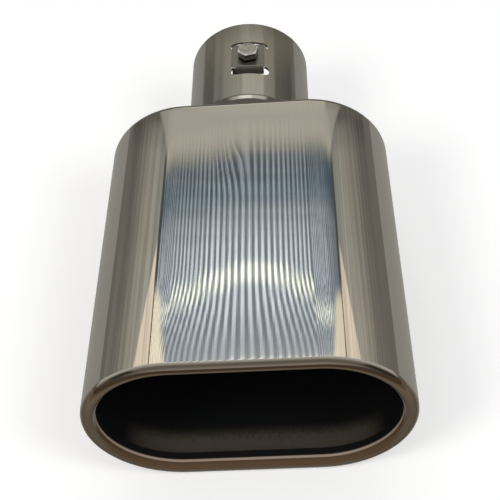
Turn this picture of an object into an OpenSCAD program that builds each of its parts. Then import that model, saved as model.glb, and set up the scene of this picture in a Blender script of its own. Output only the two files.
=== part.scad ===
// Slip-on exhaust tip in polished stainless sheet.
// A wide obround sleeve with a rolled-in lip is welded to a pressed rear cap, whose flared
// collar carries a round inlet neck. Three screws in lanced bridges clamp the neck on a tail pipe.
// Units are millimetres. +Y runs from the mouth to the open end of the neck and +Z is up.
// The tip lies on its flat side, and the origin is on the ground below the middle of its box.

/* [Outlet sleeve] */
// Width across the outlet
body_w = 144; // [112:1:200]
// Height of the outlet
body_h = 83.6; // [80:0.2:110]
// Length from the mouth to the flat rear face
body_l = 162.3; // [100:0.1:260]
// Thickness of the body sheet
sheet_t = 1.2; // [0.8:0.1:1.8]

/* [Rolled lip] */
// Outside radius of the roll round the mouth
lip_r = 3.2; // [2.2:0.1:6]
// Length of the edge that is turned back inside
lip_return = 4.5; // [1:0.5:15]

/* [Rear cap] */
// Outside radius of the shoulder
shoulder_r = 4; // [2.5:0.5:5]
// Straight skirt in front of the shoulder, butt welded to the sleeve
skirt_l = 4; // [1:0.5:15]
// Length of the collar behind the flat rear face
collar_l = 14.7; // [8:0.1:30]
// Flat left between the root of the collar and the shoulder, above and below the neck
collar_land = 0.5; // [0.2:0.1:1.5]
// Small radius where the collar rises from the flat
collar_root_r = 1.5; // [0.8:0.1:2]

/* [Inlet neck] */
// Inside diameter of the neck
neck_bore_d = 63.6; // [48:0.2:66]
// Wall of the neck tube
neck_t = 1.2; // [0.8:0.1:1.8]
// Length of the neck tube behind the collar
neck_l = 61.3; // [50:0.1:120]
// Bevel on both edges of the weld between collar and neck
weld_bevel = 0.3; // [0.1:0.1:0.6]

/* [Clamp bridges] */
// Turn of the whole set of screws about the axis, away from the middle of the flat top
clamp_turn = 2.5; // [-60:0.5:60]
// Distance of the screws from the open end of the neck
clamp_inset = 27.1; // [16:0.1:34]
// Width of the flat bridge between its two ends
bridge_w = 17.4; // [14:0.2:24]
// Bridge on the neck-end side of the screw
bridge_back = 9.3; // [6:0.1:12]
// Bridge on the mouth side of the screw, up to the outside of the folded flap
bridge_front = 10; // [8:0.1:12]
// Length of the window that the flap was folded out of
window_l = 6.8; // [5:0.1:9]
// Width of the narrow cut behind the bridge
slit_w = 1; // [0.6:0.1:2]
// Width of the lanced outline across the neck
lance_w = 21; // [19:0.2:28]
// Sideways shift of the lanced outline from the screw
lance_shift = 0.7; // [-1:0.1:1]
// Corner radius of the lanced outline
lance_r = 2.6; // [1.5:0.1:3]
// How far the ends of the cut turn towards the mouth
lance_hook = 4; // [2:0.1:5]
// Depth of the folded flap below the top of the bridge
flap_drop = 5; // [3:0.1:8]
// Gap round the flap, at its two sides and in front of its fold
flap_gap = 0.25; // [0.1:0.05:0.5]
// Inside radius of the fold
fold_r = 0.4; // [0.2:0.1:1]

/* [Clamp screws] */
// Thread diameter
thread_d = 6; // [5:1:8]
// Length of the screw below its head
screw_l = 12; // [10:1:20]
// Head width across the flats
head_af = 10; // [8:1:13]
// Height of the head
head_h = 4; // [3:0.1:6]
// Turn of the head, away from a corner towards the mouth
head_turn = -12.5; // [-30:0.5:30]
// Gap left below the head
head_gap = 0.7; // [0.1:0.05:0.95]
// Clearance of the screw hole, on the diameter
hole_clear = 0.6; // [0.2:0.1:1]
// Height of the welded nut
nut_h = 5; // [4:0.1:7]
// Nut width across the flats
nut_af = 10; // [8:1:13]
// Clearance between screw and nut, on the diameter
thread_clear = 0.1; // [0.06:0.02:0.3]
// Point chamfer of the screw
point_chamfer = 0.8; // [0.4:0.1:1]

/* [Hidden] */
$fn = 96;
steel = [0.70, 0.69, 0.66];
brushed_steel = [0.62, 0.61, 0.58];
zinc = [0.60, 0.58, 0.54];
// Cutters reach this far past what they cut
past = 1;
// The root of the collar runs on by this angle inside the flare and the flat that it joins
lap_a = 3;
// Sheet lost on each face in the tight root
root_thin = 0.01;
// The ends of a bridge lie this far below the skin of the tube, and run this far into its wall
end_sink = 0.02;
end_run = 0.3;

end_r = body_h / 2;
flat_w = body_w - body_h;
seam_y = body_l - shoulder_r - skirt_l;
neck_ri = neck_bore_d / 2;
neck_ro = neck_ri + neck_t;
neck_y = body_l + collar_l;
total_l = neck_y + neck_l;

// The collar is one long arc from the neck and one short arc into the flat rear face.
root_r = end_r - shoulder_r - collar_land;
flare_rise = root_r - neck_ro - collar_root_r;
flare_run = collar_l - collar_root_r;
flare_a = 2 * atan(flare_rise / flare_run);
flare_r = flare_run / sin(flare_a) + collar_root_r;

screw_y = total_l - clamp_inset;
bridge_z = sqrt(pow(neck_ro, 2) - pow(bridge_w / 2, 2));
nut_z = bridge_z - neck_t;
head_z = bridge_z + head_gap;
fold_out = fold_r + neck_t;
cut_h = neck_ro - nut_z + 2 * past;
CLAMP_TURNS = [0, 120, 240];

// Stands what is drawn with its axis along Z on the ground with its axis along Y.
module lay_down() {
    translate([0, -total_l / 2, end_r])
        rotate([-90, 0, 0])
            children();
}

// Puts what is drawn at the top of the neck, with the screw axis on Z, at one of the three clamps.
module at_clamp(index) {
    translate([0, -total_l / 2, end_r])
        rotate([0, clamp_turn + CLAMP_TURNS[index], 0])
            translate([0, screw_y, 0])
                children();
}

// Sweeps a profile round the obround. The profile's X is the distance from the end centres.
module round_obround() {
    for (side = [0, 180])
        rotate([0, 0, side]) {
            translate([flat_w / 2, 0, 0])
                rotate([0, 0, -90])
                    rotate_extrude(angle = 180)
                        children();
            translate([flat_w / 2, 0, 0])
                rotate([90, 0, -90])
                    linear_extrude(height = flat_w)
                        children();
        }
}

// Part of a ring between two angles that are less than 180 degrees apart.
module ring_arc(r_in, r_out, from, to) {
    reach = 2 * r_out / cos((to - from) / 2);
    intersection() {
        difference() {
            circle(r = r_out);
            circle(r = r_in);
        }
        polygon([
            [0, 0],
            reach * [cos(from), sin(from)],
            reach * [cos((from + to) / 2), sin((from + to) / 2)],
            reach * [cos(to), sin(to)]
        ]);
    }
}

// Rectangle between two corners with rounded corners, made of true arcs.
module round_rect(low, high, r) {
    translate(low + [r, 0])
        square(high - low - [2 * r, 0]);
    translate(low + [0, r])
        square(high - low - [0, 2 * r]);
    for (x = [low[0] + r, high[0] - r], y = [low[1] + r, high[1] - r])
        translate([x, y])
            circle(r = r);
}

// Wall of the sleeve with its lip: out along the wall, round the roll and back inside.
module sleeve_profile() {
    translate([end_r - sheet_t, lip_r])
        square([sheet_t, seam_y - lip_r]);
    translate([end_r - 2 * lip_r, lip_r])
        square([sheet_t, lip_return]);
    translate([end_r - lip_r, lip_r])
        difference() {
            circle(r = lip_r);
            circle(r = lip_r - sheet_t);
            translate([-lip_r - past, 0])
                square([2 * (lip_r + past), lip_r + past]);
        }
}

module outlet_shell() {
    color(steel)
        lay_down()
            round_obround()
                sleeve_profile();
}

// Skirt and shoulder of the rear cap, down to the flat.
module shoulder_profile() {
    translate([end_r - sheet_t, seam_y])
        square([sheet_t, skirt_l]);
    translate([end_r - shoulder_r, body_l - shoulder_r])
        ring_arc(shoulder_r - sheet_t, shoulder_r, 0, 90);
}

// Flat rear face, with the hole that the collar is drawn from.
module rear_face() {
    translate([0, 0, body_l - sheet_t])
        linear_extrude(height = sheet_t)
            difference() {
                union() {
                    square([flat_w, 2 * (end_r - shoulder_r)], center = true);
                    for (side = [-1, 1])
                        translate([side * flat_w / 2, 0])
                            circle(r = end_r - shoulder_r);
                }
                circle(r = root_r);
            }
}

// Tight root of the drawn collar, where the sheet is a little thinner on both faces.
module collar_root_profile() {
    translate([root_r, body_l + collar_root_r])
        ring_arc(
            collar_root_r + root_thin,
            collar_root_r + sheet_t - root_thin,
            180 + flare_a - lap_a,
            270 + lap_a
        );
}

// Long flare of the collar, which ends in line with the neck.
module collar_flare_profile() {
    difference() {
        translate([neck_ro + flare_r, neck_y])
            ring_arc(flare_r, flare_r + sheet_t, 180, 180 + flare_a);
        translate([neck_ro, neck_y])
            rotate(45)
                square(weld_bevel * sqrt(2), center = true);
    }
}

module rear_cap() {
    color(steel)
        lay_down() {
            round_obround()
                shoulder_profile();
            rear_face();
            rotate_extrude()
                collar_root_profile();
            rotate_extrude()
                collar_flare_profile();
        }
}

// Plain neck tube with the weld bevel at its front edge.
module neck_tube() {
    translate([0, 0, neck_y])
        rotate_extrude()
            polygon([
                [neck_ri, 0],
                [neck_ro - weld_bevel, 0],
                [neck_ro, weld_bevel],
                [neck_ro, neck_l],
                [neck_ri, neck_l]
            ]);
}

// Stretch of the tube's wall that the press tool flattens into a bridge.
module crown_cut() {
    translate([-bridge_w / 2, -bridge_front - flap_gap, nut_z - past])
        cube([bridge_w, bridge_front + flap_gap + bridge_back, cut_h]);
}

// Window in front of the folded flap, and the narrow cut with hooked ends behind the bridge.
// The window starts beside the flap and runs on past its other side.
module lance_cut() {
    window_x = -bridge_w / 2 - flap_gap;
    low = [lance_shift - lance_w / 2, -bridge_front - flap_gap - window_l];
    high = [lance_shift + lance_w / 2, bridge_back + slit_w];
    translate([0, 0, nut_z - 2 * past])
        linear_extrude(height = cut_h + past) {
            round_rect([window_x, low[1]], [high[0], -bridge_front - flap_gap], lance_r);
            intersection() {
                difference() {
                    round_rect(low, high, lance_r + slit_w);
                    round_rect(low + slit_w * [1, 1], high - slit_w * [1, 1], lance_r);
                }
                translate([low[0] - past, high[1] - lance_hook])
                    square([lance_w + 2 * past, lance_hook + past]);
            }
        }
}

// Flat part of a bridge. Its ends run into the wall of the tube.
module bridge_strip() {
    strip_y = fold_out - bridge_front;
    strip_l = bridge_back - strip_y;
    intersection() {
        translate([-bridge_w / 2 - end_run, strip_y, bridge_z - neck_t])
            cube([bridge_w + 2 * end_run, strip_l, neck_t]);
        translate([0, strip_y - past, 0])
            rotate([-90, 0, 0])
                cylinder(r = neck_ro - end_sink, h = strip_l + 2 * past);
    }
}

// Flap folded down at the front edge of a bridge.
module bridge_flap() {
    flap_w = bridge_w - 2 * flap_gap;
    translate([-flap_w / 2, fold_out - bridge_front, bridge_z])
        rotate([90, 0, 90])
            linear_extrude(height = flap_w) {
                translate([0, -fold_out])
                    ring_arc(fold_r, fold_out, 90, 180);
                translate([-fold_out, -flap_drop])
                    square([neck_t, flap_drop - fold_out]);
                translate([0, -neck_t])
                    square([end_run, neck_t]);
            }
}

module inlet_neck() {
    color(brushed_steel)
        difference() {
            union() {
                difference() {
                    lay_down()
                        neck_tube();
                    for (index = [0 : 2])
                        at_clamp(index)
                            crown_cut();
                }
                for (index = [0 : 2])
                    at_clamp(index) {
                        bridge_strip();
                        bridge_flap();
                    }
            }
            for (index = [0 : 2])
                at_clamp(index) {
                    lance_cut();
                    cylinder(d = thread_d + hole_clear, h = neck_ro + past);
                }
        }
}

// Six-sided block, corners towards the mouth and the neck's end, bevelled at its outer face.
module hex_block(af, h) {
    corner_r = af / (2 * cos(30));
    bevel = (corner_r - af / 2 * 0.95) * tan(30);
    intersection() {
        rotate([0, 0, 90])
            cylinder(r = corner_r, h = h, $fn = 6);
        union() {
            cylinder(r = corner_r + past, h = h - bevel);
            translate([0, 0, h - bevel])
                cylinder(r1 = corner_r, r2 = af / 2 * 0.95, h = bevel);
        }
    }
}

module clamp_screw(index) {
    shank_r = thread_d / 2;
    color(zinc)
        at_clamp(index)
            translate([0, 0, head_z]) {
                rotate([0, 0, head_turn])
                    hex_block(head_af, head_h);
                translate([0, 0, point_chamfer - screw_l])
                    cylinder(r = shank_r, h = screw_l - point_chamfer);
                translate([0, 0, -screw_l])
                    cylinder(r1 = shank_r - point_chamfer, r2 = shank_r, h = point_chamfer);
            }
}

module bridge_nut(index) {
    color(zinc)
        at_clamp(index)
            translate([0, 0, nut_z])
                rotate([180, 0, 0])
                    difference() {
                        hex_block(nut_af, nut_h);
                        translate([0, 0, -past])
                            cylinder(d = thread_d + thread_clear, h = nut_h + 2 * past);
                    }
}

outlet_shell();
rear_cap();
inlet_neck();
clamp_screw(0);  // clamp_screw_top
clamp_screw(1);  // clamp_screw_right
clamp_screw(2);  // clamp_screw_left
bridge_nut(0);  // bridge_nut_top
bridge_nut(1);  // bridge_nut_right
bridge_nut(2);  // bridge_nut_left
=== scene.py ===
"""Looks of a slip-on exhaust tip in polished stainless sheet.

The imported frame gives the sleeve, cap, neck, screws and nuts at their real size. This script gives
them their finishes, cuts real threads on the clamp screws, and sets up a plain studio with the
camera above and in front of the mouth. Lengths are metres in the frame's own axes: +Y runs from the
mouth to the open end of the neck, +Z is up, and the tip lies on its flat side at Z = 0.
"""

import logging
import math
from dataclasses import dataclass, field
from enum import Enum

import bpy
from mathutils import Matrix, Vector


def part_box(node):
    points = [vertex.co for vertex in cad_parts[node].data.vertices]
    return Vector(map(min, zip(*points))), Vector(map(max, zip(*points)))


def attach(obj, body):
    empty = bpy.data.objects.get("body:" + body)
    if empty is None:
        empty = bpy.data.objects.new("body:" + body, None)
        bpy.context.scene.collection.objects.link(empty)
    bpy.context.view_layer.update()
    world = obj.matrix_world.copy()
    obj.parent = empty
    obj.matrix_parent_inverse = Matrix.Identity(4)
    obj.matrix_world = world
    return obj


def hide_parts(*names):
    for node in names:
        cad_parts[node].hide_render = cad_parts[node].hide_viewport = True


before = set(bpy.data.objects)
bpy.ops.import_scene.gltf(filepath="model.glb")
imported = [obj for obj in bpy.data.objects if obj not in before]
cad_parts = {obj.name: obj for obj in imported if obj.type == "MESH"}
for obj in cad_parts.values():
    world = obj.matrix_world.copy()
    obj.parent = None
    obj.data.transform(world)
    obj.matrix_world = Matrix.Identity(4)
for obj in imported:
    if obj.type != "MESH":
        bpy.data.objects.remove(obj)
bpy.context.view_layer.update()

LOG = logging.getLogger("exhaust_tip")
MM = 0.001
# The rear cap's flat face lies this far behind the seam between sleeve and cap.
FACE_BEHIND_SEAM = 0.008
# The first clamp screw is turned this far from straight up, towards +X.
CLAMP_TURN_DEG = 2.5

Color = tuple[float, float, float]
Socket = bpy.types.NodeSocket


class Slot(Enum):
    """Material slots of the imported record."""

    SHEET = "polished_steel"
    NECK = "neck_steel"
    FASTENER = "fastener_steel"


@dataclass(frozen=True)
class Layout:
    """Main places of the tip, read from the frame's boxes."""

    mouth_y: float
    face_y: float
    neck_y: float
    screw_y: float
    end_y: float
    axis_z: float
    top_z: float
    flat_half: float
    neck_r: float

    @staticmethod
    def from_frame() -> "Layout":
        """Measure the tip's own nodes.

        Returns:
            The layout, in metres.
        """
        shell_low, shell_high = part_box("outlet_shell")
        cap_low, cap_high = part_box("rear_cap")
        neck_low, neck_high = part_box("inlet_neck")
        screw_low, screw_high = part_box("clamp_screw_top")
        round_r = (shell_high.z - shell_low.z) / 2
        return Layout(
            mouth_y=shell_low.y,
            face_y=cap_low.y + FACE_BEHIND_SEAM,
            neck_y=neck_low.y,
            screw_y=(screw_low.y + screw_high.y) / 2,
            end_y=neck_high.y,
            axis_z=(shell_low.z + shell_high.z) / 2,
            top_z=shell_high.z,
            flat_half=shell_high.x - round_r,
            neck_r=(neck_high.x - neck_low.x) / 2,
        )


class NodeBoard:
    """Adds shader nodes to one tree and joins them."""

    def __init__(self, tree: bpy.types.NodeTree) -> None:
        """Start on an empty tree.

        Args:
            tree: The node tree of a material or of the world.
        """
        self.tree = tree
        tree.nodes.clear()

    def add(self, kind: str, **settings: object) -> bpy.types.Node:
        """Add one node.

        Args:
            kind: Blender's name of the node type.
            **settings: Attributes that are set on the node.

        Returns:
            The new node.
        """
        node = self.tree.nodes.new(kind)
        for name, value in settings.items():
            setattr(node, name, value)
        return node

    def feed(self, socket: Socket, value: object) -> None:
        """Join a socket to another one, or give it a constant.

        Args:
            socket: The input to feed.
            value: An output socket, a number, or a tuple.
        """
        if isinstance(value, bpy.types.NodeSocket):
            self.tree.links.new(value, socket)
        else:
            socket.default_value = value

    def math(self, operation: str, *values: object, clamp: bool = False) -> Socket:
        """Add a Math node.

        Args:
            operation: Name of the operation.
            *values: One to three inputs, sockets or numbers.
            clamp: Whether the result is kept between 0 and 1.

        Returns:
            The result's socket.
        """
        node = self.add("ShaderNodeMath", operation=operation, use_clamp=clamp)
        for socket, value in zip(node.inputs, values):
            self.feed(socket, value)
        return node.outputs[0]

    def step(self, value: Socket, low: float, high: float) -> Socket:
        """Rise smoothly from 0 to 1 between two values, or fall where low is above high.

        Args:
            value: The socket that is read.
            low: Where the result is 0.
            high: Where the result is 1.

        Returns:
            The result's socket.
        """
        node = self.add("ShaderNodeMapRange", interpolation_type="SMOOTHSTEP")
        self.feed(node.inputs["Value"], value)
        if low < high:
            node.inputs["From Min"].default_value = low
            node.inputs["From Max"].default_value = high
            return node.outputs[0]
        node.inputs["From Min"].default_value = high
        node.inputs["From Max"].default_value = low
        return self.math("SUBTRACT", 1.0, node.outputs[0])

    def bump_between(self, value: Socket, low: float, high: float, soft: float) -> Socket:
        """Be 1 between two values with soft edges, and 0 outside.

        Args:
            value: The socket that is read.
            low: Middle of the lower edge.
            high: Middle of the upper edge.
            soft: Half the width of each edge.

        Returns:
            The result's socket.
        """
        rise = self.step(value, low - soft, low + soft)
        fall = self.step(value, high + soft, high - soft)
        return self.math("MULTIPLY", rise, fall)

    def mix(self, factor: object, first: object, second: object) -> Socket:
        """Mix two colours.

        Args:
            factor: Share of the second colour.
            first: A colour socket or tuple.
            second: A colour socket or tuple.

        Returns:
            The mixed colour's socket.
        """
        node = self.add("ShaderNodeMix", data_type="RGBA")
        self.feed(node.inputs[0], factor)
        for socket, value in ((node.inputs[6], first), (node.inputs[7], second)):
            self.feed(socket, (*value, 1.0) if isinstance(value, tuple) else value)
        return node.outputs[2]

    def ramp(self, factor: Socket, stops: list[tuple[float, Color]]) -> Socket:
        """Turn a value into a colour.

        Args:
            factor: The value, from 0 to 1.
            stops: Places and colours, in rising order.

        Returns:
            The colour's socket.
        """
        node = self.add("ShaderNodeValToRGB")
        ramp = node.color_ramp
        ramp.interpolation = "EASE"
        while len(ramp.elements) < len(stops):
            ramp.elements.new(1.0)
        for element, (place, color) in zip(ramp.elements, stops):
            element.position = place
            element.color = (*color, 1.0)
        self.feed(node.inputs[0], factor)
        return node.outputs[0]

    def combine(self, x: object, y: object, z: object) -> Socket:
        """Join three values into a vector.

        Args:
            x: First part.
            y: Second part.
            z: Third part.

        Returns:
            The vector's socket.
        """
        node = self.add("ShaderNodeCombineXYZ")
        for socket, value in zip(node.inputs, (x, y, z)):
            self.feed(socket, value)
        return node.outputs[0]

    def noise(self, vector: Socket, scale: float, detail: float = 2.0) -> Socket:
        """Add a noise texture.

        Args:
            vector: Where the noise is read.
            scale: Scale of the noise.
            detail: Number of finer layers.

        Returns:
            The noise's value socket, about 0.5 in the middle.
        """
        node = self.add("ShaderNodeTexNoise")
        self.feed(node.inputs["Vector"], vector)
        node.inputs["Scale"].default_value = scale
        node.inputs["Detail"].default_value = detail
        return node.outputs[0]

    def object_mm(self, centre: Vector) -> tuple[Socket, Socket, Socket]:
        """Read the place on a piece, in millimetres from a point.

        Args:
            centre: The point that reads as zero, in metres.

        Returns:
            The X, Y and Z sockets.
        """
        place = self.add("ShaderNodeTexCoord").outputs["Object"]
        moved = self.add("ShaderNodeVectorMath", operation="SUBTRACT")
        self.feed(moved.inputs[0], place)
        moved.inputs[1].default_value = centre
        scaled = self.add("ShaderNodeVectorMath", operation="SCALE")
        self.feed(scaled.inputs[0], moved.outputs[0])
        scaled.inputs["Scale"].default_value = 1 / MM
        split = self.add("ShaderNodeSeparateXYZ")
        self.feed(split.inputs[0], scaled.outputs[0])
        return tuple(split.outputs)


def new_material(name: str) -> tuple[bpy.types.Material, NodeBoard, bpy.types.Node]:
    """Make a material with one metal shader.

    Args:
        name: The material's name.

    Returns:
        The material, its node board and its shader node.
    """
    material = bpy.data.materials.new(name)
    material.use_nodes = True
    board = NodeBoard(material.node_tree)
    output = board.add("ShaderNodeOutputMaterial")
    shader = board.add("ShaderNodeBsdfPrincipled")
    shader.inputs["Metallic"].default_value = 1.0
    board.feed(output.inputs["Surface"], shader.outputs[0])
    return material, board, shader


@dataclass(frozen=True)
class MirrorSheet:
    """Mirror-polished sheet: long shallow flutes on its flat, a painted brown reflection on the lip and hem, and an
    unpolished inside with painted shade and a painted pool of light.
    """

    steel: Color = (0.62, 0.60, 0.56)
    # Painted reflection: the rolled lip's darker brown tint.
    lip: Color = (0.36, 0.31, 0.26)
    # Painted light: the pool of light on the inside floor just behind the lower lip.
    painted_floor_light: Color = (0.100, 0.084, 0.068)
    # Painted shade: the dark inside and the shadow gap behind the hem.
    painted_inside_shade: Color = (0.010, 0.011, 0.011)
    # Painted reflections on the turned-in hem, brown low down and paler at the top, and a painted highlight along its
    # rolled edge.
    painted_hem_reflection: Color = (0.130, 0.075, 0.035)
    painted_hem_highlight: Color = (0.60, 0.47, 0.38)
    painted_hem_top_reflection: Color = (0.40, 0.375, 0.33)
    gloss_roughness: float = 0.035
    inside_roughness: float = 0.5
    flute_tilt_deg: float = 0.55
    middle_rate: float = 0.2645
    flute_phase: float = 0.49
    crowding: float = 1.15e-4
    lean: float = 8.0e-4
    fan_share: float = 0.28
    drift_mm: float = 6.5
    hair_mm: float = 0.002
    hem_r_mm: float = 3.2
    skin_mm: float = 0.6

    def flutes(self, board: NodeBoard, layout: Layout, x: Socket, y: Socket) -> Socket:
        """Draw the shallow flutes, which crowd towards the sides of the flat and fan out at the mouth.

        Args:
            board: The node board.
            layout: The tip's main places.
            x: Place across the flat in millimetres.
            y: Place behind the mouth in millimetres.

        Returns:
            The height's socket, in millimetres.
        """
        half = layout.flat_half / MM
        mirror_rate = 0.0805
        off_left = board.math("DIVIDE", board.math("ADD", x, 5.5), 7.5)
        left_hill = board.math("EXPONENT", board.math("MULTIPLY", board.math("MULTIPLY", off_left, off_left), -1.0))
        drift = board.math("MULTIPLY", board.math("MULTIPLY", left_hill, board.step(y, 90.0, 150.0)), self.drift_mm)
        moved = board.math("ADD", x, drift)
        fan = board.math("POWER", board.step(y, 58.0, 2.0), 1.5)
        spread = board.math("MULTIPLY_ADD", fan, -self.fan_share, 1.0)
        plain = self.middle_rate + mirror_rate
        bend = board.math("MULTIPLY_ADD", moved, self.crowding, -self.lean)
        lines = board.math("MULTIPLY", board.math("MULTIPLY_ADD", bend, moved, plain), moved)
        count = board.math("MULTIPLY_ADD", lines, spread, board.math("MULTIPLY_ADD", x, -mirror_rate, self.flute_phase))
        steep = board.math("MULTIPLY_ADD", moved, 3.0 * self.crowding, -2.0 * self.lean)
        slope = board.math("MULTIPLY_ADD", steep, moved, plain)
        rate = board.math("MULTIPLY_ADD", slope, spread, -mirror_rate)
        place = board.math("SUBTRACT", board.math("FRACT", count), 0.5)
        crown = board.math("DIVIDE", board.math("MULTIPLY", place, place), rate)
        on_flat = board.step(board.math("ABSOLUTE", x), half + 8.0, half + 3.0)
        length = board.math("MULTIPLY", board.step(y, 157.0, 138.0), board.step(y, 0.6, 2.0))
        depth = board.math("MULTIPLY", crown, -math.tan(math.radians(self.flute_tilt_deg)))
        return board.math("MULTIPLY", depth, board.math("MULTIPLY", on_flat, length))

    def depth_below_skin(self, board: NodeBoard, layout: Layout, x: Socket, z: Socket) -> Socket:
        """Measure how far a point lies inside the sleeve's outer face.

        Args:
            board: The node board.
            layout: The tip's main places.
            x: Place across the tip in millimetres.
            z: Place above the axis in millimetres.

        Returns:
            The depth's socket, in millimetres.
        """
        outer = (layout.top_z - layout.axis_z) / MM
        beyond = board.math("MAXIMUM", board.math("SUBTRACT", board.math("ABSOLUTE", x), layout.flat_half / MM), 0.0)
        square = board.math("ADD", board.math("MULTIPLY", beyond, beyond), board.math("MULTIPLY", z, z))
        return board.math("SUBTRACT", outer, board.math("SQRT", square))

    def paint_inside_light_and_shade(self, board: NodeBoard, x: Socket, y: Socket, z: Socket, hem: Socket) -> Socket:
        """Paint light and shade on the unpolished inside: a painted pool of light on the floor just behind the lip,
        painted shade beyond it, and a painted brown reflection on the hem with a painted highlight and a painted shadow
        gap.

        Args:
            board: The node board.
            x: Place across the tip in millimetres.
            y: Place behind the mouth in millimetres.
            z: Place above the axis in millimetres.
            hem: 1 on the turned-in side of the lip.

        Returns:
            The colour's socket.
        """
        # Painted light: a mottled pool of light on the inside floor near the mouth, on painted shade.
        patch_place = board.combine(board.math("MULTIPLY", x, 0.9), board.math("MULTIPLY", y, 0.5), z)
        patches = board.noise(patch_place, 1.0, 4.0)
        near = board.math("MULTIPLY", board.step(y, 25.0, 14.0), board.step(z, -27.0, -37.5))
        lit = board.math("MULTIPLY", near, board.math("MULTIPLY_ADD", patches, 1.6, 0.35))
        inside = board.mix(lit, self.painted_inside_shade, self.painted_floor_light)
        # Painted reflection on the hem: brown low down, paler at the top.
        brown = board.mix(board.step(z, -8.0, 12.0), self.painted_hem_reflection, self.painted_hem_top_reflection)
        # Painted highlight: a pale line along the hem's rolled edge.
        edge = board.bump_between(y, self.hem_r_mm - 0.3, self.hem_r_mm + 0.9, 0.25)
        # Beyond that line the hem takes the painted shade, a painted shadow gap.
        turned = board.mix(board.step(y, 4.1, 4.6), board.mix(edge, brown, self.painted_hem_highlight), self.painted_inside_shade)
        return board.mix(hem, inside, turned)

    def build(self, layout: Layout) -> bpy.types.Material:
        """Make the material.

        Args:
            layout: The tip's main places.

        Returns:
            The material.
        """
        material, board, shader = new_material("mirror_sheet")
        x, y, z = board.object_mm(Vector((0.0, layout.mouth_y, layout.axis_z)))
        depth = self.depth_below_skin(board, layout, x, z)
        lower = board.math("MULTIPLY", board.step(z, 6.0, -24.0), board.step(depth, 3.4, 4.8))
        turned = board.math("MAXIMUM", lower, board.step(depth, 5.35, 5.85))
        hem = board.math("MULTIPLY", turned, board.step(y, 9.0, 8.4))
        rear = (layout.face_y - layout.mouth_y) / MM
        before_face = board.step(y, rear - self.skin_mm + 0.2, rear - self.skin_mm - 0.2)
        behind_lip = board.step(y, 3.3, 3.6)
        wall = board.math("MULTIPLY", board.math("MULTIPLY", board.step(depth, 0.45, 0.75), behind_lip), before_face)
        dull = board.math("MAXIMUM", wall, hem)
        hair_place = board.combine(
            board.math("MULTIPLY", x, 2.2), board.math("MULTIPLY", y, 0.02), board.math("MULTIPLY", z, 2.2)
        )
        hair = board.noise(hair_place, 1.0, 3.0)
        smudge_place = board.combine(board.math("MULTIPLY", x, 0.05), board.math("MULTIPLY", y, 0.03), z)
        smudges = board.noise(smudge_place, 1.0, 3.0)
        bump = board.add("ShaderNodeBump")
        bump.inputs["Strength"].default_value = 1.0
        bump.inputs["Distance"].default_value = MM
        height = board.math("MULTIPLY_ADD", hair, self.hair_mm, self.flutes(board, layout, x, y))
        board.feed(bump.inputs["Height"], height)
        board.feed(shader.inputs["Normal"], bump.outputs[0])
        tinted = board.add("ShaderNodeVectorMath", operation="SCALE")
        tinted.inputs[0].default_value = self.steel
        board.feed(tinted.inputs["Scale"], board.math("MULTIPLY_ADD", hair, 0.10, 0.95))
        tone = self.paint_inside_light_and_shade(board, x, y, z, hem)
        # The rolled lip gets a darker brown tint, a painted reflection.
        polished = board.mix(board.step(y, 3.0, 1.6), tinted.outputs[0], self.lip)
        board.feed(shader.inputs["Base Color"], board.mix(dull, polished, tone))
        board.feed(shader.inputs["Metallic"], board.math("MULTIPLY_ADD", dull, -0.75, 1.0))
        fine = board.math("MULTIPLY_ADD", hair, 0.03, board.math("MULTIPLY_ADD", smudges, 0.03, self.gloss_roughness - 0.03))
        rough = board.add("ShaderNodeMix", data_type="FLOAT")
        board.feed(rough.inputs[0], dull)
        board.feed(rough.inputs[2], fine)
        rough.inputs[3].default_value = self.inside_roughness
        board.feed(shader.inputs["Roughness"], rough.outputs[0])
        return material


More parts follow.
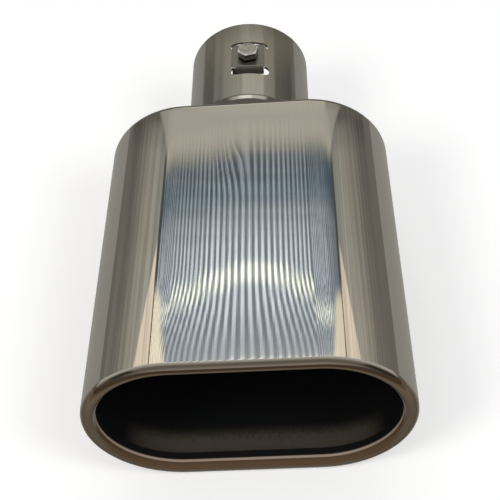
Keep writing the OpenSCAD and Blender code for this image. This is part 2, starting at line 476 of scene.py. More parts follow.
@dataclass(frozen=True)
class SatinTube:
    """Softly polished tube, duller on its lanced bridges and flaps, with painted shade on the bridges, the flaps and
    the inside, and a painted highlight along each flap's fold.
    """

    steel: Color = (0.55, 0.54, 0.50)
    # Painted shade: the bridges' darker colour, the flaps' dark olive and the dark inside; painted highlight: the pale
    # fold.
    bridge: Color = (0.25, 0.245, 0.215)
    flap: Color = (0.105, 0.100, 0.075)
    fold: Color = (0.74, 0.72, 0.65)
    inside: Color = (0.16, 0.155, 0.145)
    roughness: float = 0.085

    def clamp_place(self, board: NodeBoard, layout: Layout, x: Socket, y: Socket, z: Socket) -> tuple[Socket, Socket, Socket]:
        """Read the place near a clamp screw, in the nearest screw's own axes.

        Args:
            board: The node board.
            layout: The tip's main places.
            x: Place across the tip in millimetres.
            y: Place behind the mouth in millimetres.
            z: Place above the axis in millimetres.

        Returns:
            Place across the bridge, height above the tube's axis, and place behind the screw.
        """
        square = board.math("ADD", board.math("MULTIPLY", x, x), board.math("MULTIPLY", z, z))
        radius = board.math("SQRT", square)
        turn = board.math("SUBTRACT", board.math("ARCTAN2", x, z), math.radians(CLAMP_TURN_DEG))
        local = board.math("WRAP", turn, math.pi / 3, -math.pi / 3)
        across = board.math("MULTIPLY", radius, board.math("SINE", local))
        height = board.math("MULTIPLY", radius, board.math("COSINE", local))
        return across, height, board.math("SUBTRACT", y, (layout.screw_y - layout.mouth_y) / MM)

    def build(self, layout: Layout) -> bpy.types.Material:
        """Make the material.

        Args:
            layout: The tip's main places.

        Returns:
            The material.
        """
        material, board, shader = new_material("satin_tube")
        x, y, z = board.object_mm(Vector((0.0, layout.mouth_y, layout.axis_z)))
        across, height, along = self.clamp_place(board, layout, x, y, z)
        on_strip = board.math("MULTIPLY", board.step(board.math("ABSOLUTE", across), 8.95, 8.75), board.bump_between(along, -10.7, 9.4, 0.05))
        on_bridge = board.math("MULTIPLY", on_strip, board.bump_between(height, 30.4, 31.93, 0.04))
        on_flap = board.math("MULTIPLY", board.bump_between(along, -10.8, -9.0, 0.05), board.bump_between(height, 25.0, 31.35, 0.1))
        on_flap = board.math("MULTIPLY", on_flap, board.step(board.math("ABSOLUTE", across), 8.95, 8.75))
        fold_place = board.math("MULTIPLY", board.bump_between(along, -10.8, -9.75, 0.15), board.step(height, 31.15, 31.4))
        on_fold = board.math("MULTIPLY", fold_place, board.step(board.math("ABSOLUTE", across), 8.95, 8.75))
        square = board.math("ADD", board.math("MULTIPLY", x, x), board.math("MULTIPLY", z, z))
        radius = board.math("SQRT", square)
        wall = layout.neck_r / MM
        within = board.math("SUBTRACT", board.step(radius, wall - 0.5, wall - 0.9), board.math("MAXIMUM", on_bridge, on_flap), clamp=True)
        around = board.math("MULTIPLY", board.math("ARCTAN2", x, z), wall)
        brushed = board.combine(board.math("MULTIPLY", around, 1.6), board.math("MULTIPLY", y, 0.05), 0.0)
        hair = board.noise(brushed, 1.0, 4.0)
        hatching = board.noise(board.combine(board.math("MULTIPLY", across, 3.2), board.math("MULTIPLY", height, 0.5), along), 1.0, 2.0)
        tinted = board.add("ShaderNodeVectorMath", operation="SCALE")
        tinted.inputs[0].default_value = self.steel
        board.feed(tinted.inputs["Scale"], board.math("MULTIPLY_ADD", hair, 0.30, 0.85))
        hatched = board.add("ShaderNodeVectorMath", operation="SCALE")
        hatched.inputs[0].default_value = self.flap
        board.feed(hatched.inputs["Scale"], board.math("MULTIPLY_ADD", hatching, 1.6, 0.2))
        # Painted shade darkens the bridges, the hatched flaps and the tube's inside; a painted highlight lightens each
        # fold.
        tone = board.mix(within, board.mix(on_bridge, tinted.outputs[0], self.bridge), self.inside)
        tone = board.mix(on_flap, tone, hatched.outputs[0])
        board.feed(shader.inputs["Base Color"], board.mix(on_fold, tone, self.fold))
        # Flaps and folds lose most of their metal, so their painted shade and highlight show under the lamps.
        plain = board.math("MAXIMUM", on_flap, board.math("MULTIPLY", on_fold, 0.7))
        board.feed(shader.inputs["Metallic"], board.math("MULTIPLY_ADD", plain, -0.8, 1.0))
        rough = board.math("MULTIPLY_ADD", hair, 0.07, self.roughness - 0.035)
        rough = board.math("MULTIPLY_ADD", board.math("MAXIMUM", on_bridge, within), 0.13, rough)
        board.feed(shader.inputs["Roughness"], board.math("MULTIPLY_ADD", on_flap, 0.35, rough))
        bump = board.add("ShaderNodeBump")
        bump.inputs["Strength"].default_value = 0.35
        bump.inputs["Distance"].default_value = 0.008 * MM
        board.feed(bump.inputs["Height"], hair)
        board.feed(shader.inputs["Normal"], bump.outputs[0])
        return material


@dataclass(frozen=True)
class ForgedFastener:
    """Plain fastener steel: slightly rough and mottled, with brown traces and bright worn chamfers."""

    steel: Color = (0.52, 0.50, 0.46)
    stain: Color = (0.40, 0.34, 0.28)
    worn: Color = (0.80, 0.78, 0.72)
    roughness: float = 0.28
    head_top_mm: float = 36.53
    head_face_mm: float = 4.75

    def build(self, layout: Layout) -> bpy.types.Material:
        """Make the material.

        Args:
            layout: The tip's main places.

        Returns:
            The material.
        """
        material, board, shader = new_material("forged_fastener")
        x, y, z = board.object_mm(Vector((0.0, layout.screw_y, layout.axis_z)))
        square = board.math("ADD", board.math("MULTIPLY", x, x), board.math("MULTIPLY", z, z))
        turn = board.math("SUBTRACT", board.math("ARCTAN2", x, z), math.radians(CLAMP_TURN_DEG))
        local = board.math("WRAP", turn, math.pi / 3, -math.pi / 3)
        across = board.math("MULTIPLY", board.math("SQRT", square), board.math("SINE", local))
        height = board.math("MULTIPLY", board.math("SQRT", square), board.math("COSINE", local))
        out = board.math("ADD", board.math("MULTIPLY", across, across), board.math("MULTIPLY", y, y))
        place = board.combine(x, y, z)
        patches = board.noise(place, 0.42, 4.0)
        grain = board.noise(place, 2.6, 3.0)
        wander = board.math("MULTIPLY_ADD", patches, 0.5, board.math("SQRT", out))
        near_top = board.bump_between(height, self.head_top_mm - 0.75, self.head_top_mm - 0.02, 0.05)
        wear = board.math("MULTIPLY", near_top, board.step(wander, self.head_face_mm + 0.15, self.head_face_mm + 0.4))
        stained = board.mix(board.step(patches, 0.50, 0.68), self.steel, self.stain)
        board.feed(shader.inputs["Base Color"], board.mix(wear, stained, self.worn))
        board.feed(shader.inputs["Metallic"], board.math("MULTIPLY_ADD", wear, -0.6, 1.0))
        board.feed(shader.inputs["Roughness"], board.math("MULTIPLY_ADD", grain, 0.25, self.roughness - 0.12))
        bump = board.add("ShaderNodeBump")
        bump.inputs["Strength"].default_value = 0.5
        bump.inputs["Distance"].default_value = 0.03 * MM
        board.feed(bump.inputs["Height"], grain)
        board.feed(shader.inputs["Normal"], bump.outputs[0])
        return material


@dataclass
class SheetBody:
    """Sleeve and rear cap, which keep their frame shapes."""

    finish: MirrorSheet = field(default_factory=MirrorSheet)
    nodes: tuple[str, ...] = ("outlet_shell", "rear_cap")

    def dress(self, layout: Layout) -> None:
        """Give both pieces the polished sheet.

        Args:
            layout: The tip's main places.
        """
        material = self.finish.build(layout)
        for name in self.nodes:
            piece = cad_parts[name]
            piece.data.materials.clear()
            piece.data.materials.append(material)
            LOG.info("%s: polished sheet", name)


@dataclass
class InletNeck:
    """Neck tube with its lanced bridges."""

    finish: SatinTube = field(default_factory=SatinTube)

    def dress(self, layout: Layout) -> None:
        """Give the tube its satin polish.

        Args:
            layout: The tip's main places.
        """
        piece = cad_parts["inlet_neck"]
        piece.data.materials.clear()
        piece.data.materials.append(self.finish.build(layout))
        LOG.info("inlet_neck: satin tube")


@dataclass
class ClampFasteners:
    """Three M6 hex screws with real threads, and the welded nuts that they turn in."""

    finish: ForgedFastener = field(default_factory=ForgedFastener)
    sides: tuple[str, ...] = ("top", "right", "left")
    head_across: float = 0.010
    head_turn_deg: float = -12.5
    head_height: float = 0.004
    head_low: float = 0.03253
    point_low: float = 0.02053
    thread_r: float = 0.003
    thread_depth: float = 0.00061
    pitch: float = 0.001
    point_chamfer: float = 0.0008
    edge_round: float = 0.00014

    def solid_between(self, name: str, low: float, high: float, low_r: float, high_r: float, straight_to: float) -> bpy.types.Object:
        """Turn a blank: a cone frustum that goes on as a straight cylinder.

        Args:
            name: The blank's name.
            low: Height of the frustum's lower face.
            high: Height of its upper face.
            low_r: Radius of the lower face.
            high_r: Radius of the upper face.
            straight_to: Height at which the cylinder on the frustum's wider face ends.

        Returns:
            The blank.
        """
        bpy.ops.object.select_all(action="DESELECT")
        bpy.ops.mesh.primitive_cone_add(
            vertices=96, radius1=low_r, radius2=high_r, depth=high - low, location=(0.0, 0.0, (low + high) / 2)
        )
        blank = bpy.context.object
        blank.name = name
        bpy.ops.object.transform_apply(location=True, rotation=True, scale=True)
        upward = straight_to > high
        bpy.ops.object.mode_set(mode="EDIT")
        bpy.ops.mesh.select_mode(type="FACE")
        bpy.ops.mesh.select_all(action="DESELECT")
        bpy.ops.object.mode_set(mode="OBJECT")
        for face in blank.data.polygons:
            face.select = abs(face.normal.z) > 0.9 and (face.center.z > (low + high) / 2) == upward
        bpy.ops.object.mode_set(mode="EDIT")
        rise = straight_to - (high if upward else low)
        bpy.ops.mesh.extrude_region_move(TRANSFORM_OT_translate={"value": (0.0, 0.0, rise)})
        bpy.ops.object.mode_set(mode="OBJECT")
        return blank

    def combine(self, body: bpy.types.Object, tool: bpy.types.Object, operation: str) -> None:
        """Join or cut a body with a tool, and remove the tool.

        Args:
            body: The object that stays.
            tool: The object that is used up.
            operation: UNION or INTERSECT.
        """
        bpy.ops.object.select_all(action="DESELECT")
        body.select_set(True)
        bpy.context.view_layer.objects.active = body
        change = body.modifiers.new("change", "BOOLEAN")
        change.operation = operation
        change.solver = "EXACT"
        change.object = tool
        bpy.ops.object.modifier_apply(modifier=change.name)
        bpy.data.objects.remove(tool)

    def build_head(self) -> bpy.types.Object:
        """Cut a hexagon and turn its upper corners off.

        Returns:
            The head.
        """
        corner_r = self.head_across / math.sqrt(3)
        top = self.head_low + self.head_height
        bpy.ops.object.select_all(action="DESELECT")
        bpy.ops.mesh.primitive_cylinder_add(
            vertices=6,
            radius=corner_r,
            depth=self.head_height,
            location=(0.0, 0.0, self.head_low + self.head_height / 2),
            rotation=(0.0, 0.0, math.radians(self.head_turn_deg)),
        )
        head = bpy.context.object
        bpy.ops.object.transform_apply(location=True, rotation=True, scale=True)
        face_r = 0.95 * self.head_across / 2
        slant = 0.75 * MM
        blank = self.solid_between(
            "head_blank", top - slant, top, face_r + slant / math.tan(math.radians(30.0)), face_r, self.head_low - MM
        )
        self.combine(head, blank, "INTERSECT")
        bevel = head.modifiers.new("edges", "BEVEL")
        bevel.width = self.edge_round
        bevel.segments = 2
        bevel.limit_method = "ANGLE"
        bevel.angle_limit = math.radians(20.0)
        bpy.ops.object.modifier_apply(modifier=bevel.name)
        return head

    def build_shank(self) -> bpy.types.Object:
        """Sweep the thread's profile along its helix, close the ends and turn the point.

        Returns:
            The threaded shank.
        """
        root_r = self.thread_r - self.thread_depth
        start = self.point_low - 2 * self.pitch
        turns = round((self.head_low - self.point_low) / self.pitch) + 4
        bpy.ops.object.select_all(action="DESELECT")
        bpy.ops.mesh.primitive_plane_add(size=MM, location=(root_r, 0.0, start))
        shank = bpy.context.object
        bpy.ops.object.transform_apply(location=True, rotation=True, scale=True)
        bpy.ops.object.mode_set(mode="EDIT")
        bpy.ops.mesh.select_mode(type="VERT")
        bpy.ops.mesh.select_all(action="SELECT")
        bpy.ops.mesh.merge(type="CENTER")
        steps = ((0.0, 1 / 8), (self.thread_depth, 5 / 16), (0.0, 1 / 8), (-self.thread_depth, 5 / 16), (0.0, 1 / 8))
        for out, rise in steps:
            bpy.ops.mesh.extrude_region_move(TRANSFORM_OT_translate={"value": (out, 0.0, rise * self.pitch)})
        bpy.ops.object.mode_set(mode="OBJECT")
        sweep = shank.modifiers.new("helix", "SCREW")
        sweep.axis = "Z"
        sweep.angle = 2 * math.pi
        sweep.screw_offset = self.pitch
        sweep.iterations = turns
        sweep.steps = sweep.render_steps = 32
        sweep.use_merge_vertices = True
        sweep.merge_threshold = 0.005 * MM
        bpy.ops.object.modifier_apply(modifier=sweep.name)
        bpy.ops.object.mode_set(mode="EDIT")
        bpy.ops.mesh.select_all(action="SELECT")
        bpy.ops.mesh.remove_doubles(threshold=0.005 * MM)
        for height, facing in ((self.point_low, -1.0), (self.head_low + 0.4 * MM, 1.0)):
            bpy.ops.mesh.select_all(action="SELECT")
            bpy.ops.mesh.bisect(
                plane_co=(0.0, 0.0, height), plane_no=(0.0, 0.0, facing), use_fill=True, clear_outer=True
            )
        bpy.ops.mesh.select_all(action="SELECT")
        bpy.ops.mesh.normals_make_consistent(inside=False)
        bpy.ops.object.mode_set(mode="OBJECT")
        blank = self.solid_between(
            "point_blank",
            self.point_low,
            self.point_low + self.point_chamfer,
            self.thread_r + 0.05 * MM - self.point_chamfer,
            self.thread_r + 0.05 * MM,
            self.head_low + MM,
        )
        self.combine(shank, blank, "INTERSECT")
        return shank

    def place_copy(self, model: bpy.types.Object, side: str, turn_deg: float, layout: Layout) -> bpy.types.Object:
        """Put a copy of the screw into its bridge.

        Args:
            model: The screw, upright above the neck's axis.
            side: Name of the place.
            turn_deg: Turn about the neck's axis, from straight up towards +X.
            layout: The tip's main places.

        Returns:
            The placed screw.
        """
        bpy.ops.object.select_all(action="DESELECT")
        model.select_set(True)
        bpy.context.view_layer.objects.active = model
        bpy.ops.object.duplicate()
        screw = bpy.context.object
        screw.name = f"hex_screw_{side}"
        screw.rotation_euler = (0.0, math.radians(turn_deg), 0.0)
        screw.location = (0.0, layout.screw_y, layout.axis_z)
        bpy.ops.object.transform_apply(location=True, rotation=True, scale=True)
        return screw

    def build(self, layout: Layout) -> None:
        """Make and dress the screws, and dress the nuts.

        Args:
            layout: The tip's main places.
        """
        material = self.finish.build(layout)
        head, shank = self.build_head(), self.build_shank()
        self.combine(head, shank, "UNION")
        bpy.ops.object.shade_smooth_by_angle(angle=math.radians(28.0))
        head.data.materials.clear()
        head.data.materials.append(material)
        for number, side in enumerate(self.sides):
            screw = self.place_copy(head, side, CLAMP_TURN_DEG + 120.0 * number, layout)
            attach(screw, "root")
            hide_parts(f"clamp_screw_{side}")
            LOG.info("%s: %d faces", screw.name, len(screw.data.polygons))
            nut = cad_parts[f"bridge_nut_{side}"]
            nut.data.materials.clear()
            nut.data.materials.append(material)
        bpy.data.objects.remove(head)
        LOG.info("nuts: fastener steel")


@dataclass
class Surround:
    """What the polished steel mirrors: a room in soft bands, with a cool striped roof light above the tip.

    A direction is named by its turn about the tip's axis, from straight up towards +X, and by its
    angle from the neck's end of the axis. Both are in degrees.
    """

    middle_deg: float = 2.0
    strip_deg: float = -4.8
    strip_gap_deg: float = 2.2

    def directions(self, board: NodeBoard) -> tuple[Socket, Socket]:
        """Read the direction of a ray.

        Args:
            board: The world's node board.

        Returns:
            The turn about the axis and the angle from it.
        """
        place = board.add("ShaderNodeTexCoord").outputs["Generated"]
        split = board.add("ShaderNodeSeparateXYZ")
        board.feed(split.inputs[0], place)
        x, y, z = split.outputs
        degrees = 180 / math.pi
        turn = board.math("MULTIPLY", board.math("ARCTAN2", x, z), degrees)
        ahead = board.math("MULTIPLY", board.math("ARCCOSINE", y), degrees)
        return turn, ahead

    def side_bands(self, board: NodeBoard, side: Socket, ahead: Socket) -> Socket:
        """Colour the room on both sides of the roof light.

        Args:
            board: The world's node board.
            side: Turn away from the middle of the roof light.
            ahead: Angle from the neck's end of the axis.

        Returns:
            The colour's socket.
        """
        bands = board.ramp(
            board.math("DIVIDE", side, 180.0),
            [
                (0.000, (0.38, 0.37, 0.33)),
                (0.200, (0.38, 0.375, 0.34)),
                (0.245, (0.45, 0.44, 0.39)),
                (0.300, (0.42, 0.39, 0.34)),
                (0.344, (0.36, 0.34, 0.30)),
                (0.380, (0.31, 0.28, 0.25)),
                (0.412, (0.25, 0.23, 0.20)),
                (0.445, (0.20, 0.185, 0.165)),
                (0.500, (0.19, 0.18, 0.16)),
                (0.545, (0.22, 0.21, 0.185)),
                (1.000, (0.30, 0.28, 0.25)),
            ],
        )
        level = board.ramp(
            board.math("DIVIDE", ahead, 60.0),
            [
                (0.680, (0.55, 0.55, 0.55)),
                (0.700, (0.76, 0.76, 0.76)),
                (0.715, (0.93, 0.93, 0.93)),
                (0.785, (1.0, 1.0, 1.0)),
                (0.833, (1.1, 1.1, 1.1)),
                (0.900, (1.2, 1.2, 1.2)),
            ],
        )
        scaled = board.add("ShaderNodeMix", data_type="RGBA", blend_type="MULTIPLY")
        scaled.inputs[0].default_value = 1.0
        board.feed(scaled.inputs[6], bands)
        board.feed(scaled.inputs[7], level)
        dark_end = board.step(ahead, 41.4, 40.7)
        return board.mix(dark_end, scaled.outputs[2], (0.165, 0.155, 0.14))

    def strips(self, board: NodeBoard, turn: Socket) -> Socket:
        """Draw even bright strips, weaker on both sides.

        Args:
            board: The world's node board.
            turn: Turn about the axis.

        Returns:
            A socket that is 1 in the middle of a strip.
        """
        off = board.math("SUBTRACT", turn, self.strip_deg)
        wave = board.math("COSINE", board.math("MULTIPLY", off, 2 * math.pi / self.strip_gap_deg))
        away = board.math("ABSOLUTE", off)
        strength = board.math("MULTIPLY_ADD", board.step(away, 3.0, 6.0), -0.4, 1.0)
        strength = board.math("MULTIPLY", strength, board.step(away, 36.0, 20.0))
        return board.math("MULTIPLY", board.step(wave, -0.25, 0.65), strength)

    def roof_light(self, board: NodeBoard, turn: Socket, side: Socket, ahead: Socket, inward: Socket) -> Socket:
        """Colour the cool roof light, its bright strips, its bright arch and its cream rim.

        Args:
            board: The world's node board.
            turn: Turn about the axis.
            side: Turn away from the middle of the roof light.
            ahead: Angle from the neck's end of the axis.
            inward: The same angle, less the roundness of the roof light's far edge.

        Returns:
            The colour's socket.
        """
        span = board.math("DIVIDE", board.math("SUBTRACT", inward, 40.0), 20.0)
        cool = board.ramp(
            span,
            [
                (0.045, (0.58, 0.55, 0.48)),
                (0.070, (0.56, 0.53, 0.47)),
                (0.085, (0.49, 0.47, 0.41)),
                (0.100, (0.38, 0.38, 0.33)),
                (0.115, (0.26, 0.28, 0.25)),
                (0.130, (0.15, 0.18, 0.20)),
                (0.150, (0.10, 0.13, 0.165)),
                (0.200, (0.09, 0.13, 0.175)),
                (0.250, (0.13, 0.18, 0.22)),
                (0.295, (0.22, 0.26, 0.30)),
                (0.340, (0.23, 0.275, 0.32)),
                (0.560, (0.23, 0.275, 0.335)),
                (0.600, (0.25, 0.295, 0.35)),
                (0.650, (0.29, 0.335, 0.39)),
                (0.695, (0.36, 0.40, 0.45)),
                (0.730, (0.50, 0.52, 0.52)),
                (0.850, (0.55, 0.53, 0.50)),
            ],
        )
        glow = board.ramp(
            span,
            [
                (0.045, (0.63, 0.60, 0.53)),
                (0.085, (0.60, 0.59, 0.52)),
                (0.110, (0.55, 0.55, 0.52)),
                (0.135, (0.46, 0.50, 0.53)),
                (0.160, (0.45, 0.52, 0.60)),
                (0.210, (0.47, 0.56, 0.66)),
                (0.250, (0.52, 0.61, 0.72)),
                (0.295, (0.72, 0.82, 0.90)),
                (0.340, (0.90, 0.98, 1.07)),
                (0.390, (1.10, 1.21, 1.34)),
                (0.425, (1.18, 1.30, 1.45)),
                (0.550, (1.15, 1.27, 1.41)),
                (0.625, (0.86, 0.95, 1.06)),
                (0.670, (0.72, 0.79, 0.88)),
                (0.705, (0.70, 0.76, 0.82)),
                (0.725, (1.70, 1.70, 1.65)),
                (1.000, (1.80, 1.80, 1.72)),
            ],
        )
        strip = self.strips(board, turn)
        wide = board.math("DIVIDE", board.math("ADD", turn, 4.0), 5.7)
        hollow = board.math("EXPONENT", board.math("MULTIPLY", board.math("MULTIPLY", wide, wide), -1.0))
        arch_at = board.math("MULTIPLY_ADD", hollow, -2.6, 52.0)
        arch = board.step(board.math("ABSOLUTE", board.math("SUBTRACT", ahead, arch_at)), 0.9, 0.2)
        lit = board.mix(strip, cool, glow)
        weave_place = board.combine(board.math("MULTIPLY", turn, 0.07), board.math("MULTIPLY", ahead, 2.6), 0.0)
        weave = board.math("MULTIPLY_ADD", board.noise(weave_place, 1.0, 3.0), 0.7, 0.65)
        weave = board.math("MAXIMUM", weave, board.step(inward, 45.0, 49.0))
        woven = board.add("ShaderNodeVectorMath", operation="SCALE")
        board.feed(woven.inputs[0], lit)
        board.feed(woven.inputs["Scale"], weave)
        lit = board.mix(board.bump_between(inward, 42.5, 47.5, 0.6), lit, woven.outputs[0])
        lit = board.mix(arch, lit, board.mix(strip, (0.43, 0.48, 0.46), (2.2, 2.3, 2.1)))
        rim_at = board.math("MULTIPLY_ADD", board.math("SUBTRACT", ahead, 51.5), -2.0, 24.0)
        rim = board.step(board.math("SUBTRACT", side, rim_at), -3.5, 2.5)
        cream = board.mix(strip, (1.05, 0.95, 0.76), (1.75, 1.65, 1.38))
        return board.mix(board.math("MULTIPLY", rim, board.step(ahead, 50.3, 51.5)), lit, cream)

    def far_roof(self, board: NodeBoard, side: Socket) -> Socket:
        """Colour the warm plain part of the roof beyond the roof light.

        Args:
            board: The world's node board.
            side: Turn away from the middle of the roof light.

        Returns:
            The colour's socket.
        """
        return board.ramp(
            board.math("DIVIDE", side, 90.0),
            [
                (0.270, (0.55, 0.535, 0.49)),
                (0.330, (0.52, 0.505, 0.46)),
                (0.400, (0.45, 0.43, 0.375)),
                (0.560, (0.38, 0.365, 0.315)),
                (1.000, (0.36, 0.35, 0.31)),
            ],
        )

    def above_neck(self, board: NodeBoard, turn: Socket, ahead: Socket) -> Socket:
        """Colour the part of the room that the neck and the collar mirror.

        Args:
            board: The world's node board.
            turn: Turn about the axis.
            ahead: Angle from the neck's end of the axis.

        Returns:
            The colour's socket.
        """
        round_turn = board.math("DIVIDE", board.math("ADD", turn, 110.0), 220.0)
        around = board.ramp(
            round_turn,
            [
                (0.070, (0.150, 0.150, 0.130)),
                (0.170, (0.145, 0.145, 0.125)),
                (0.200, (0.27, 0.265, 0.235)),
                (0.260, (0.25, 0.245, 0.215)),
                (0.300, (0.37, 0.36, 0.315)),
                (0.440, (0.44, 0.425, 0.37)),
                (0.468, (0.60, 0.575, 0.50)),
                (0.628, (0.60, 0.575, 0.50)),
                (0.652, (0.37, 0.355, 0.31)),
                (0.725, (0.34, 0.33, 0.285)),
                (0.760, (0.16, 0.155, 0.135)),
                (0.900, (0.115, 0.115, 0.100)),
                (0.940, (0.135, 0.13, 0.11)),
            ],
        )
        far_end = board.mix(board.math("MULTIPLY", board.step(ahead, 38.6, 36.4), 0.35), around, (0.42, 0.36, 0.27))
        crescent = board.ramp(
            round_turn,
            [
                (0.290, (0.13, 0.125, 0.11)),
                (0.380, (0.55, 0.53, 0.48)),
                (0.455, (1.08, 1.06, 0.98)),
                (0.515, (1.08, 1.06, 0.98)),
                (0.560, (0.66, 0.64, 0.58)),
                (0.645, (0.62, 0.60, 0.54)),
                (0.700, (0.13, 0.125, 0.11)),
            ],
        )
        glow = board.mix(board.bump_between(ahead, 28.0, 34.4, 0.7), (0.135, 0.13, 0.115), crescent)
        return board.mix(board.step(ahead, 35.2, 36.2), glow, far_end)

    def front(self, board: NodeBoard, turn: Socket, ahead: Socket) -> Socket:
        """Colour the brown room in front of the mouth, with its dark corners and the strips' ends.

        Args:
            board: The world's node board.
            turn: Turn about the axis.
            ahead: Angle from the neck's end of the axis.

        Returns:
            The colour's socket.
        """
        brown = board.ramp(
            board.math("DIVIDE", ahead, 180.0),
            [
                (0.317, (0.60, 0.57, 0.53)),
                (0.367, (0.56, 0.53, 0.49)),
                (0.444, (0.54, 0.52, 0.48)),
                (0.528, (0.44, 0.42, 0.38)),
                (0.622, (0.30, 0.28, 0.25)),
                (0.722, (0.27, 0.25, 0.225)),
                (0.800, (0.36, 0.34, 0.31)),
                (0.900, (0.50, 0.48, 0.44)),
                (1.000, (0.50, 0.48, 0.44)),
            ],
        )
        corners = board.bump_between(ahead, 95.0, 128.0, 6.0)
        left = board.math("MULTIPLY", board.bump_between(turn, -76.0, -47.0, 5.0), corners)
        right = board.math("MULTIPLY", board.bump_between(turn, 53.0, 100.0, 5.0), corners)
        flanks = board.math("MULTIPLY", board.step(board.math("ABSOLUTE", turn), 66.0, 76.0), board.step(ahead, 96.0, 106.0))
        brown = board.mix(flanks, brown, (0.150, 0.142, 0.122))
        brown = board.mix(left, brown, (0.075, 0.080, 0.062))
        brown = board.mix(right, brown, (0.060, 0.060, 0.048))
        ends = board.math("MULTIPLY", self.strips(board, turn), board.step(ahead, 68.0, 64.0))
        return board.mix(ends, brown, (1.8, 1.8, 1.72))

    def build(self, board: NodeBoard) -> Socket:
        """Join all parts of the room.

        Args:
            board: The world's node board.

        Returns:
            The colour's socket.
        """
        turn, ahead = self.directions(board)
        side = board.math("ABSOLUTE", board.math("SUBTRACT", turn, self.middle_deg))
        below = board.math("MAXIMUM", board.math("SUBTRACT", 43.2, ahead), 0.0)
        flare = board.math("MULTIPLY", board.math("MULTIPLY", below, below), 2.2)
        steep = board.math("MULTIPLY", board.math("MAXIMUM", board.math("SUBTRACT", 40.4, ahead), 0.0), 9.0)
        edge = board.math("ADD", board.math("MINIMUM", flare, board.math("ADD", steep, 22.0)), 32.0)
        past_edge = board.math("SUBTRACT", side, edge)
        outside = self.side_bands(board, side, ahead)
        wedge_at = board.math("MULTIPLY_ADD", board.math("SUBTRACT", ahead, 47.9), 2.3, 34.0)
        in_wedge = board.step(board.math("SUBTRACT", side, wedge_at), 0.8, -0.8)
        wedge = board.math("MULTIPLY", in_wedge, board.bump_between(ahead, 48.2, 59.0, 1.0))
        outside = board.mix(wedge, outside, (1.08, 0.94, 0.78))
        streak_place = board.combine(board.math("MULTIPLY", turn, 0.42), board.math("MULTIPLY", ahead, 0.05), 0.0)
        streaks = board.step(board.noise(streak_place, 1.0, 4.0), 0.36, 0.60)
        streaks = board.math("MULTIPLY_ADD", streaks, 0.26, 0.80)
        streaked = board.add("ShaderNodeVectorMath", operation="SCALE")
        board.feed(streaked.inputs[0], outside)
        board.feed(streaked.inputs["Scale"], streaks)
        outside = streaked.outputs[0]
        corner = board.math("MINIMUM", board.math("POWER", board.math("DIVIDE", side, 30.0), 5.0), 1.3)
        leftward = board.math("MULTIPLY_ADD", board.math("SUBTRACT", self.strip_deg, turn), 0.16, 0.15)
        lean = board.math("MINIMUM", board.math("MAXIMUM", leftward, 0.12), 1.0)
        inward = board.math("SUBTRACT", ahead, board.math("MULTIPLY_ADD", corner, 0.9, lean))
        cool = self.roof_light(board, turn, side, ahead, inward)
        inside = board.mix(board.step(inward, 40.4, 41.0), self.far_roof(board, side), cool)
        room = board.mix(board.step(past_edge, -0.6, 0.6), inside, outside)
        crease = board.step(board.math("ABSOLUTE", board.math("ADD", past_edge, 0.3)), 2.4, 0.8)
        near_crease = board.math("MULTIPLY", crease, board.bump_between(ahead, 42.8, 50.6, 0.7))
        room = board.mix(near_crease, room, (0.09, 0.105, 0.11))
        thin = board.step(board.math("ABSOLUTE", past_edge), 1.1, 0.2)
        room = board.mix(board.math("MULTIPLY", thin, board.bump_between(ahead, 50.0, 60.0, 0.7)), room, (0.18, 0.15, 0.12))
        room = board.mix(board.step(ahead, 40.1, 40.5), self.above_neck(board, turn, ahead), room)
        return board.mix(board.step(ahead, 55.5, 64.0), room, self.front(board, turn, ahead))


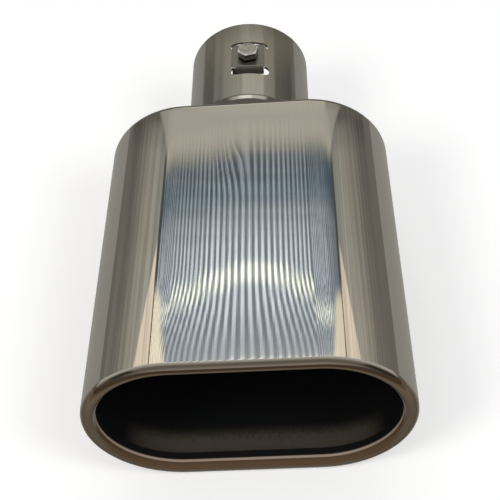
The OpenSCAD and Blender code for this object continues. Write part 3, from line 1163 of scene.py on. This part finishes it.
@dataclass
class Studio:
    """Plain pale floor, soft light all round and three soft lamps."""

    surround: Surround = field(default_factory=Surround)
    floor_half: float = 1.6
    floor_glow: float = 0.36
    ground_far: Color = (0.195, 0.18, 0.16)
    ambient: Color = (0.42, 0.42, 0.42)
    white: Color = (1.0, 1.0, 1.0)

    def ground(self, board: NodeBoard, layout: Layout) -> Socket:
        """Colour the ground that mirrors show: grey below the tip, brown in front of it, with a painted shadow of the
        tip just in front of the mouth.

        Args:
            board: The floor's node board.
            layout: The tip's main places.

        Returns:
            The colour's socket.
        """
        x, y, _ = board.object_mm(Vector((0.0, layout.mouth_y, 0.0)))
        # Painted shadow: the darker dip about 6 mm in front of the mouth.
        along = board.ramp(
            board.math("DIVIDE", board.math("ADD", y, 130.0), 140.0),
            [
                (0.000, (0.13, 0.10, 0.07)),
                (0.071, (0.10, 0.07, 0.04)),
                (0.357, (0.24, 0.19, 0.14)),
                (0.571, (0.32, 0.28, 0.23)),
                (0.786, (0.24, 0.21, 0.17)),
                (0.886, (0.17, 0.15, 0.10)),
                (0.907, (0.25, 0.235, 0.20)),
                (0.921, (0.335, 0.325, 0.295)),
            ],
        )
        beyond = board.math("SUBTRACT", 1.0, board.bump_between(x, -449.0, 279.0, 14.0))
        behind_mouth = board.step(y, -20.0, 0.0)
        return board.mix(board.math("MULTIPLY", beyond, behind_mouth), along, self.ground_far)

    def build_floor(self, layout: Layout) -> None:
        """Lay the floor under the tip. The camera sees it white, with the tip's soft shadow.

        Args:
            layout: The tip's main places.
        """
        bpy.ops.mesh.primitive_plane_add(size=2 * self.floor_half, location=(0.0, 0.0, -0.0002))
        floor = bpy.context.object
        floor.name = "studio_floor"
        material = bpy.data.materials.new("studio_floor")
        material.use_nodes = True
        board = NodeBoard(material.node_tree)
        output = board.add("ShaderNodeOutputMaterial")
        path = board.add("ShaderNodeLightPath")
        lit = board.add("ShaderNodeBsdfDiffuse")
        lit.inputs["Color"].default_value = (0.8, 0.8, 0.8, 1.0)
        glow = board.add("ShaderNodeEmission")
        seen = board.math("MAXIMUM", path.outputs["Is Camera Ray"], path.outputs["Is Transmission Ray"])
        board.feed(glow.inputs["Strength"], board.math("MULTIPLY", seen, self.floor_glow))
        pale = board.add("ShaderNodeAddShader")
        board.feed(pale.inputs[0], lit.outputs[0])
        board.feed(pale.inputs[1], glow.outputs[0])
        mirrored = board.add("ShaderNodeEmission")
        board.feed(mirrored.inputs["Color"], self.ground(board, layout))
        both = board.add("ShaderNodeMixShader")
        board.feed(both.inputs[0], path.outputs["Is Glossy Ray"])
        board.feed(both.inputs[1], pale.outputs[0])
        board.feed(both.inputs[2], mirrored.outputs[0])
        board.feed(output.inputs["Surface"], both.outputs[0])
        floor.data.materials.append(material)
        LOG.info("studio floor")

    def build_world(self) -> None:
        """Set the world: white to the camera, the room to mirrors, plain soft light to the rest."""
        world = bpy.data.worlds.new("studio")
        bpy.context.scene.world = world
        world.use_nodes = True
        board = NodeBoard(world.node_tree)
        output = board.add("ShaderNodeOutputWorld")
        light = board.add("ShaderNodeBackground")
        path = board.add("ShaderNodeLightPath")
        seen = board.math("MAXIMUM", path.outputs["Is Camera Ray"], path.outputs["Is Transmission Ray"])
        room = board.mix(path.outputs["Is Glossy Ray"], self.ambient, self.surround.build(board))
        board.feed(light.inputs["Color"], board.mix(seen, room, self.white))
        light.inputs["Strength"].default_value = 1.0
        board.feed(output.inputs["Surface"], light.outputs[0])
        LOG.info("studio world")

    def add_lamp(self, name: str, place: Vector, target: Vector, size: tuple[float, float], watts: float, color: Color) -> None:
        """Hang one rectangular soft lamp, which mirrors don't show.

        Args:
            name: The lamp's name.
            place: Its centre.
            target: The point that it faces.
            size: Its width and length.
            watts: Its power.
            color: Its colour.
        """
        bpy.ops.object.light_add(type="AREA", location=place)
        lamp = bpy.context.object
        lamp.name = name
        lamp.data.shape = "RECTANGLE"
        lamp.data.size, lamp.data.size_y = size
        lamp.data.energy = watts
        lamp.data.color = color
        lamp.rotation_mode = "QUATERNION"
        lamp.rotation_quaternion = (target - place).to_track_quat("-Z", "Y")
        lamp.visible_glossy = False
        LOG.info("lamp %s", name)

    def light(self, layout: Layout) -> None:
        """Hang the lamps.

        Args:
            layout: The tip's main places.
        """
        aim = Vector((0.0, 0.0, layout.axis_z))
        self.add_lamp("lamp_front_left", Vector((-0.68, -0.62, 1.00)), aim, (0.4, 0.4), 5.0, (1.0, 0.98, 0.95))
        self.add_lamp("lamp_front_right", Vector((0.70, -0.52, 1.00)), aim, (0.4, 0.4), 4.0, (0.97, 0.98, 1.0))
        self.add_lamp("lamp_behind", Vector((0.0, 1.30, 0.62)), aim, (0.9, 0.5), 4.0, (1.0, 0.99, 0.97))


@dataclass(frozen=True)
class PhotoCamera:
    """Camera in front of and above the mouth, turned a little about the tip's axis."""

    lens_mm: float = 71.3
    sensor_mm: float = 36.0
    tilt_deg: float = 48.185
    roll_deg: float = 4.34
    yaw_deg: float = 0.102
    place_mm: tuple[float, float, float] = (0.444, -224.85, 361.19)

    def build(self, layout: Layout) -> None:
        """Place the camera.

        Args:
            layout: The tip's main places.
        """
        bpy.ops.object.camera_add()
        camera = bpy.context.object
        camera.name = "photo_camera"
        camera.data.sensor_width = self.sensor_mm
        camera.data.lens = self.lens_mm
        camera.data.clip_start = 0.01
        mouth = Matrix.Translation((0.0, layout.mouth_y, layout.axis_z))
        roll = Matrix.Rotation(math.radians(self.roll_deg), 4, "Y")
        yaw = Matrix.Rotation(math.radians(self.yaw_deg), 4, "Z")
        place = Matrix.Translation(Vector(self.place_mm) * MM)
        tilt = Matrix.Rotation(math.radians(90.0 - self.tilt_deg), 4, "X")
        camera.matrix_world = mouth @ roll @ yaw @ place @ tilt
        bpy.context.scene.camera = camera
        LOG.info("camera: %.1f mm lens", self.lens_mm)


def set_view() -> None:
    """Show colours plainly."""
    bpy.context.scene.view_settings.view_transform = "Standard"


def main() -> None:
    """Dress the tip and set up the studio."""
    logging.basicConfig(level=logging.INFO, format="%(message)s")
    bpy.ops.object.select_all(action="DESELECT")
    layout = Layout.from_frame()
    set_view()
    PhotoCamera().build(layout)
    SheetBody().dress(layout)
    InletNeck().dress(layout)
    ClampFasteners().build(layout)
    studio = Studio()
    studio.build_floor(layout)
    studio.build_world()
    studio.light(layout)


if __name__ == "__main__":
    main()
